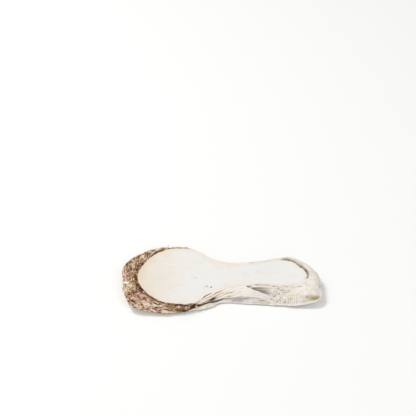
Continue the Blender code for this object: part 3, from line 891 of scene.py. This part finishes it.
def layered(tree, colour, layers):
    # lays colours over each other, each as far as its share says
    for share, over in layers:
        colour = addNode(tree, "ShaderNodeMix", {0: share, 6: colour, 7: over}, data_type="RGBA")
    return colour


def finishShader(tree, shader, colour, height, look):
    # base colour, and a bump as high as look says, over the real relief of the mesh
    tree.links.new(colour.outputs[2], shader.inputs["Base Color"])
    strength, distance = look["bump"]
    inputs = {"Height": height, "Strength": strength, "Distance": distance * mm}
    bump = addNode(tree, "ShaderNodeBump", inputs)
    tree.links.new(bump.outputs[0], shader.inputs["Normal"])
    shader.inputs["Roughness"].default_value = look["roughness"]
    shader.inputs["Specular IOR Level"].default_value = look["specular"]


# Dried cut flesh: sliced with a knife and dried, so chalky and pale, with faint fibres along the stem and a
# warmer cream where it thins towards the cap's skin
fleshLook = {
    "pale": "#edebe7",
    "cream": "#ead3b0",
    "stain": "#e6d8c1",
    "fibre": "#dfd6c9",
    # the olive of the skin standing round the base, darkened as painted shade; also the shade of the front
    # line
    "groove": "#5f4d16",
    "creamReach": (4.0, 0.6),  # from the edge in mm, and how strong there
    "capTint": (-18.0, -50.0, 0.5),  # X where the cap's warmer tint starts and is whole, and how strong
    # size in mm and detail of the clouds in the cream, the stains, what frays the specks, and the grain
    "noises": ((16.0, 4.0), (6.0, 3.0), (1.1111, 3.0), (0.22, 3.0)),
    "fibreMm": (9.0, 0.45, 1.0),
    "fibreDetail": 5.0,
    "stains": (0.54, 0.78, 0.0, 0.5),  # part of the noise that shows, and how strong it starts and gets
    "fibres": (0.52, 0.72, 0.0, 0.22),
    # dried specks: X, Y, radius and colour
    "specks": ((-7.7, -8.5, 0.8, "#a8928e"), (-5.3, -9.7, 0.75, "#5f6063"), (-14.1, 0.4, 0.7, "#c2aca4")),
    "speckCore": 0.3,  # share of the radius inside which the colour is whole
    "fibreBump": 1.5,  # beside the grain's
    "bump": (0.35, 0.06),  # strength, and height in mm
    "roughness": 0.88,
    "specular": 0.25,
}


def makeDriedFlesh():
    material, tree, shader, place = newMaterial("driedFlesh")
    look = fleshLook
    clouds, stains, frayed, grain = (
        addNode(tree, "ShaderNodeTexNoise", {"Vector": place, "Scale": 1 / size, "Detail": detail})
        for size, detail in look["noises"]
    )
    perMm = tuple(1 / size for size in look["fibreMm"])
    stretched = addNode(tree, "ShaderNodeMapping", {"Vector": place, "Scale": perMm})
    fibres = addNode(
        tree, "ShaderNodeTexNoise", {"Vector": stretched, "Scale": 1.0, "Detail": look["fibreDetail"]}
    )
    inset, groove = (
        addNode(tree, "ShaderNodeAttribute", attribute_name=name) for name in ("insetMm", "grooveOliveAndShade")
    )

    # cream near the edge in clouds, and all over towards the cap's tip
    reach, most = look["creamReach"]
    nearEdge = addNode(tree, "ShaderNodeMapRange", (inset, reach, 0.0, 0.0, most))
    start, whole, most = look["capTint"]
    alongX = addNode(tree, "ShaderNodeSeparateXYZ", (place,)).outputs["X"]
    nearTip = addNode(tree, "ShaderNodeMapRange", (alongX, start, whole, 0.0, most))
    cream = addNode(
        tree, "ShaderNodeMath", (nearEdge, clouds, nearTip), operation="MULTIPLY_ADD", use_clamp=True
    )
    stainShare = addNode(tree, "ShaderNodeMapRange", (stains, *look["stains"]))
    fibreShare = addNode(tree, "ShaderNodeMapRange", (fibres, *look["fibres"]))
    layers = [(cream, look["cream"]), (stainShare, look["stain"]), (fibreShare, look["fibre"])]

    jittered = addNode(tree, "ShaderNodeVectorMath", (place, frayed.outputs["Color"]), operation="ADD")
    flat = addNode(tree, "ShaderNodeVectorMath", (jittered, (1.0, 1.0, 0.0)), operation="MULTIPLY")
    for x, y, radius, speckColour in look["specks"]:
        away = addNode(tree, "ShaderNodeVectorMath", (flat, (x, y, 0.0)), operation="DISTANCE")
        away = away.outputs["Value"]
        inside = addNode(tree, "ShaderNodeMapRange", (away, radius, look["speckCore"] * radius))
        layers.append((inside, speckColour))
    colour = layered(tree, look["pale"], [*layers, (groove, look["groove"])])
    height = addNode(tree, "ShaderNodeMath", (fibres, look["fibreBump"], grain), operation="MULTIPLY_ADD")
    finishShader(tree, shader, colour, height, look)
    return material


# The mushroom's natural outside, dried, in three kinds of skin that run into each other. Cap cuticle: thin
# and leathery, shrunk into crinkles, pinkish brown, with pale tops that are partly a painted highlight. Gill
# tissue: papery, cream with tan between that is partly painted shade. Stem rind: pale, wrinkled lengthwise,
# painted grey-beige in its hollows as shade.
skinLook = {
    # colours from crease to crest, plain and where the skin is tinted olive or lilac; the tone that picks
    # them follows the relief, so the dark ends are painted shade and the pale ends painted highlight
    "tones": {
        "cap": ((0.0, "#3f2817"), (0.18, "#7c593c"), (0.4, "#b48d6b"), (0.66, "#dcc1a4"), (1.0, "#f8ecdc")),
        "capOlive": ((0.0, "#3d2d16"), (0.25, "#8a6d45"), (0.55, "#c7af83"), (1.0, "#f4ead0")),
        "capLilac": ((0.0, "#4c2c20"), (0.25, "#966e58"), (0.55, "#cfab98"), (1.0, "#f5e7e0")),
        "stem": ((0.0, "#8d7f66"), (0.45, "#d9cfbf"), (0.85, "#f5f0e8")),
        "stemOlive": ((0.0, "#857348"), (0.45, "#cdbd96"), (0.85, "#f3ead7")),
        "stemLilac": ((0.0, "#837a74"), (0.45, "#d3cbc6"), (0.85, "#f4f0f1")),
        "gill": ((0.0, "#5c4526"), (0.35, "#b59a6e"), (0.75, "#f3ebe0")),
    },
    # painted shade: the darker olive-grey that the hollow behind the stem's fold is coloured with
    "hollow": "#6b5c3f",
    # painted shade: the colour that the seam, its pits, the slit and the crease are darkened towards
    "dark": "#4c2d14",
    # the same painted shade on the stem's crease, mixed with its own olive
    "darkStem": "#76602f",
    "detail": 4.0,
    "mottle": ((0.9, 0.65, 0.22), (3.0, 0.65, 0.18)),  # size in mm, roughness, and its move of the tone
    "pore": (0.35, 0.7),
    "bump": (0.5, 0.2),
    "roughness": 0.8,
    "specular": 0.2,
}


def makeDriedSkin():
    material, tree, shader, place = newMaterial("driedMushroomSkin")
    look = skinLook
    shares = {name: addNode(tree, "ShaderNodeAttribute", attribute_name=name) for name in outsideColumns}
    *mottles, pores = (
        addNode(
            tree, "ShaderNodeTexNoise",
            {"Vector": place, "Scale": 1 / size, "Detail": look["detail"], "Roughness": roughness},
        )
        for size, roughness, *_ in (*look["mottle"], look["pore"])
    )
    tone = shares["tone"]
    for mottle, (*_, amount) in zip(mottles, look["mottle"]):
        centred = addNode(tree, "ShaderNodeMath", (mottle, amount, -0.5 * amount), operation="MULTIPLY_ADD")
        tone = addNode(tree, "ShaderNodeMath", (tone, centred), operation="ADD")
    tones = {
        name: addNode(tree, "ShaderNodeValToRGB", (tone,), stops) for name, stops in look["tones"].items()
    }
    olive, lilac = (addNode(tree, "ShaderNodeMapRange", (shares["tint"], 0.0, end)) for end in (-1.0, 1.0))
    colour = tones["gill"]
    for kind in ("stem", "cap"):
        skin = layered(tree, tones[kind], ((olive, tones[kind + "Olive"]), (lilac, tones[kind + "Lilac"])))
        colour = layered(tree, colour, ((shares[kind + "Share"], skin),))
    dark = layered(tree, look["dark"], ((shares["stemShare"], look["darkStem"]),))
    colour = layered(tree, colour, ((shares["hollowPaintedShade"], look["hollow"]), (shares["creviceShadeShare"], dark)))
    finishShader(tree, shader, colour, pores, look)
    return material


fleshMaterial = makeDriedFlesh()
skinMaterial = makeDriedSkin()
print("materials made")


# Flakes: bits of the cap's cuticle that came loose and curled up as it dried, still fast at one end
flakes = {
    "count": 130,
    "seed": 5,
    "length": (0.8, 2.1),
    "width": (0.4, 0.9),
    "thickness": 0.09,
    "lift": (0.0, 0.17),  # of the free end, in lengths
    "tone": (0.55, 1.05),
    "turn": 0.7,  # most angle to the cap's length, in radians
    "sunk": 0.12,  # how deep the fast end lies in the skin
    "steps": 6,
    # what the curl takes from its length, and what its free end loses of width and thickness
    "tapers": (0.25, 0.8, 0.6),
    "margin": 0.9,  # least share of cap skin where a flake may grow
    "frill": (-51.4, -9.2, 7.8),  # place of a long bright one that lies across the skin at the tip
    "frillWay": (-0.95, 0.3, 0.0),
    "frillForm": (3.7, 2.4, 0.1, 1.6),  # its length, width, lift and tone
}


def flakeRibbon(start, along, side, up, length, width, lift, tone):
    # a closed ribbon with a rounded free end that curls away from the skin
    part = flakes
    shorter, narrower, thinner = part["tapers"]
    share = np.linspace(0.0, 1.0, part["steps"] + 1)[:, None]
    rise = up * (lift * length * share**2 - part["sunk"])
    middle = start + along * length * share * (1.0 - shorter * lift * share) + rise
    half = 0.5 * width * np.sqrt(1.0 - narrower * share**3) * side
    thick = 0.5 * part["thickness"] * (1.0 - thinner * share) * up
    corners = [middle - half - thick, middle + half - thick, middle + half + thick, middle - half + thick]
    faces = [[0, 3, 2, 1]]
    for k in range(part["steps"]):
        a, b = 4 * k, 4 * k + 4
        faces += [[a + i, a + (i + 1) % 4, b + (i + 1) % 4, b + i] for i in range(4)]
    last = 4 * part["steps"]
    faces.append([last, last + 1, last + 2, last + 3])
    columns = np.zeros((4 * len(share), points.shape[1]))
    columns[:, :3] = np.stack(corners, axis=1).reshape(-1, 3)
    for name, value in (("skinShare", 1.0), ("capShare", 1.0), ("tone", tone)):
        columns[:, 3 + attributeNames.index(name)] = value
    return columns, faces


def growFlakes(lastStation):
    # picks places on the cap's skin, and gives the flakes' points and faces
    part = flakes
    chance = np.random.default_rng(part["seed"])
    inner = sections[1:lastStation, :, :3]
    along = sections[2 : lastStation + 1, :, :3] - sections[: lastStation - 1, :, :3]
    down = np.roll(inner, -1, axis=1) - np.roll(inner, 1, axis=1)
    capColumn = sections[1:lastStation, :, 3 + attributeNames.index("capShare")]
    onCap = np.argwhere(capColumn > part["margin"])
    fromFrill = np.linalg.norm(inner[onCap[:, 0], onCap[:, 1]] - part["frill"], axis=1)
    picks = [(onCap[np.argmin(fromFrill)], *part["frillForm"], None)]
    for _ in range(part["count"]):
        spot = onCap[chance.integers(len(onCap))]
        form = [chance.uniform(*part[name]) for name in ("length", "width", "lift", "tone")]
        turn = chance.uniform(-part["turn"], part["turn"])
        picks.append((spot, *form, turn + math.pi * chance.integers(2)))
    columns, faces, first = [], [], len(points)
    for (i, m), length, width, lift, tone, turn in picks:
        ahead = along[i, m] / np.linalg.norm(along[i, m])
        up = np.cross(ahead, down[i, m])
        up /= np.linalg.norm(up)
        if turn is None:
            way = np.array(part["frillWay"]) - up * np.dot(up, part["frillWay"])
            way /= np.linalg.norm(way)
        else:
            way = ahead * math.cos(turn) + np.cross(up, ahead) * math.sin(turn)
        ribbon, quads = flakeRibbon(inner[i, m], way, np.cross(up, way), up, length, width, lift, tone)
        columns.append(ribbon)
        faces += [[first + c for c in quad] for quad in quads]
        first += len(ribbon)
    return np.concatenate(columns), faces


# Cap and stem: two runs of sections that meet at the neck, each closed by a wall of flesh
slicePieces = {
    "capFlesh": {"node": "cap", "slot": "cap"},
    "stemFlesh": {"node": "stem", "slot": "stem"},
}


def weldedGrid():
    # one number for each point of the sections; points that fall together share it
    corners = sections.reshape(-1, sections.shape[2])
    _, first, where = np.unique(np.round(corners[:, :3], 4), axis=0, return_index=True, return_inverse=True)
    return corners[first], where.reshape(sections.shape[:2])


def quadsOfRun(where):
    # the faces between the sections of a run, without those that closed up at a tip, and which are skin
    here, right = where, np.roll(where, -1, axis=1)
    quads = np.stack([here[:-1], here[1:], right[1:], right[:-1]], axis=-1).reshape(-1, 4)
    onSkin = points[quads, 3].max(axis=1) > 0.5
    faces = []
    for quad in quads.tolist():
        kept = [c for i, c in enumerate(quad) if c != quad[i - 1]]
        faces.append(kept if len(set(kept)) == len(kept) and len(kept) > 2 else None)
    return faces, onSkin


def closingFaces(end):
    # the wall of flesh across the slice at the neck
    across = layout["across"]
    lowStart = across + sliceForm["wallRows"] - 1
    faces = []
    for m in range(across - 1):
        low = lowStart + across - 1 - m
        faces.append([end[m], end[m + 1], end[low - 1], end[low]])
    faces.append(list(end[across - 1 : lowStart + 1]))
    faces.append(list(end[lowStart + across - 1 :]) + [end[0]])
    return [[int(c) for i, c in enumerate(face) if c != face[i - 1]] for face in faces]


def meshOf(name, faces, materialIndex, used):
    mesh = bpy.data.meshes.new(name)
    renumbered = np.full(len(points), -1)
    renumbered[used] = np.arange(len(used))
    mesh.from_pydata((points[used, :3] * mm).tolist(), [], [renumbered[face].tolist() for face in faces])
    mesh.polygons.foreach_set("material_index", np.array(materialIndex, dtype=np.int32))
    mesh.shade_smooth()
    return mesh


def makePiece(name, where, end, wholeNormals, turned, grown=()):
    # turned says that the wall's faces are turned over to look outward at this end
    faces, onSkin = quadsOfRun(where)
    indices = [int(skin) for face, skin in zip(faces, onSkin) if face]
    faces = [face for face in faces if face]
    closing = closingFaces(where[end])
    if turned:
        closing = [face[::-1] for face in closing]
    faces += closing + list(grown)
    indices += [0] * len(closing) + [1] * len(grown)
    used = np.unique(np.concatenate([where.ravel(), *grown]).astype(int))
    mesh = meshOf(name, faces, indices, used)
    for column, label in enumerate(attributeNames, start=3):
        layer = mesh.attributes.new(label, "FLOAT", "POINT")
        layer.data.foreach_set("value", points[used, column].astype(np.float32))
    for material in (fleshMaterial, skinMaterial):
        mesh.materials.append(material)
    mesh.normals_split_custom_set_from_vertices(wholeNormals[used].tolist())
    thing = bpy.data.objects.new(name, mesh)
    bpy.context.scene.collection.objects.link(thing)
    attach(thing, "root")
    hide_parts(slicePieces[name]["node"])
    print(name, "made:", len(mesh.polygons), "faces")


def makeSlice():
    # both pieces take their normals from the whole slice, so no line shows where they meet
    wholeFaces = [face for face in quadsOfRun(grid)[0] if face]
    whole = meshOf("wholeSlice", wholeFaces, [0] * len(wholeFaces), np.arange(len(points)))
    normals = np.empty(len(points) * 3)
    whole.vertices.foreach_get("normal", normals)
    bpy.data.meshes.remove(whole)
    normals = normals.reshape(-1, 3)
    normals[grid.max() + 1 :] = 0.0  # the flakes keep normals of their own
    makePiece("capFlesh", grid[: neck + 1], -1, normals, True, flakeFaces)
    makePiece("stemFlesh", grid[neck:], 0, normals, False)


points, grid = weldedGrid()
neck = int(np.argmin(abs(sections[:, 0, 0] - shift[0] - sliceForm["neckX"])))
flakePoints, flakeFaces = growFlakes(neck)
points = np.concatenate([points, flakePoints])
makeSlice()


# Floor: matt white card, a plain stage for the slice
stageLook = {"size": 6.0, "colour": "#fbfbfa", "roughness": 0.95}  # size in metres


def makeStage():
    half = stageLook["size"] / 2
    mesh = bpy.data.meshes.new("floor")
    corners = [(-half, -half, 0), (half, -half, 0), (half, half, 0), (-half, half, 0)]
    mesh.from_pydata(corners, [], [(0, 1, 2, 3)])
    material, _, shader, _ = newMaterial("mattWhiteCard")
    shader.inputs["Base Color"].default_value = linearColour(stageLook["colour"])
    shader.inputs["Roughness"].default_value = stageLook["roughness"]
    shader.inputs["Specular IOR Level"].default_value = 0.0
    mesh.materials.append(material)
    floor = bpy.data.objects.new("floor", mesh)
    bpy.context.scene.collection.objects.link(floor)


makeStage()


# Light: one big soft box above and behind to the left, a weaker one in front, and a white room; places and
# sizes in metres
lightPlan = {
    "world": 0.58,
    "key": {"place": (-0.6, 0.3, 1.05), "size": 0.45, "watts": 6.8},
    "fill": {"place": (0.35, -1.0, 0.7), "size": 0.8, "watts": 3.0},
}


def makeLights():
    world = bpy.data.worlds.new("whiteRoom")
    bpy.context.scene.world = world
    world.use_nodes = True
    background = world.node_tree.nodes["Background"]
    background.inputs["Color"].default_value = (1.0, 1.0, 1.0, 1.0)
    background.inputs["Strength"].default_value = lightPlan["world"]
    for name in ("key", "fill"):
        plan = lightPlan[name]
        lamp = bpy.data.lights.new(name, "AREA")
        lamp.size = plan["size"]
        lamp.energy = plan["watts"]
        thing = bpy.data.objects.new(name, lamp)
        thing.location = plan["place"]
        direction = -np.array(plan["place"])
        angleZ = math.atan2(direction[1], direction[0]) - math.pi / 2
        tilt = math.atan2(math.hypot(direction[0], direction[1]), -direction[2])
        thing.rotation_euler = (tilt, 0.0, angleZ)
        bpy.context.scene.collection.objects.link(thing)


makeLights()


# Camera: the photograph looks down on the slice's cut face at about 33 degrees, through a long lens
cameraPlan = {
    "elevation": 33.0,  # degrees
    "lens": 200.0,  # focal length
    "sensor": 36.0,  # width
    "clip": (0.01, 20.0),  # metres
    "framePixels": 416,
    "mmPerPixel": 0.561,
    "originPixel": (221.6, 285.5),  # where the middle of the slice's footprint falls in the frame
}


def makeCamera():
    plan = cameraPlan
    data = bpy.data.cameras.new("camera")
    data.lens, data.sensor_width = plan["lens"], plan["sensor"]
    data.clip_start, data.clip_end = plan["clip"]
    camera = bpy.data.objects.new("camera", data)
    bpy.context.scene.collection.objects.link(camera)
    frameWidth = plan["framePixels"] * plan["mmPerPixel"] * mm
    distance = frameWidth / 2 / math.tan(math.atan(plan["sensor"] / 2 / plan["lens"]))
    elevation = math.radians(plan["elevation"])
    camera.location = (0.0, -distance * math.cos(elevation), distance * math.sin(elevation))
    half = plan["framePixels"] / 2
    step = plan["mmPerPixel"] * mm / distance
    yaw = math.atan((plan["originPixel"][0] - half) * step / math.cos(elevation))
    pitch = math.atan((plan["originPixel"][1] - half) * step)
    camera.rotation_euler = (math.pi / 2 - elevation + pitch, 0.0, yaw)
    bpy.context.scene.camera = camera


makeCamera()
bpy.context.scene.view_settings.view_transform = "Standard"
print("stage, light and camera made")
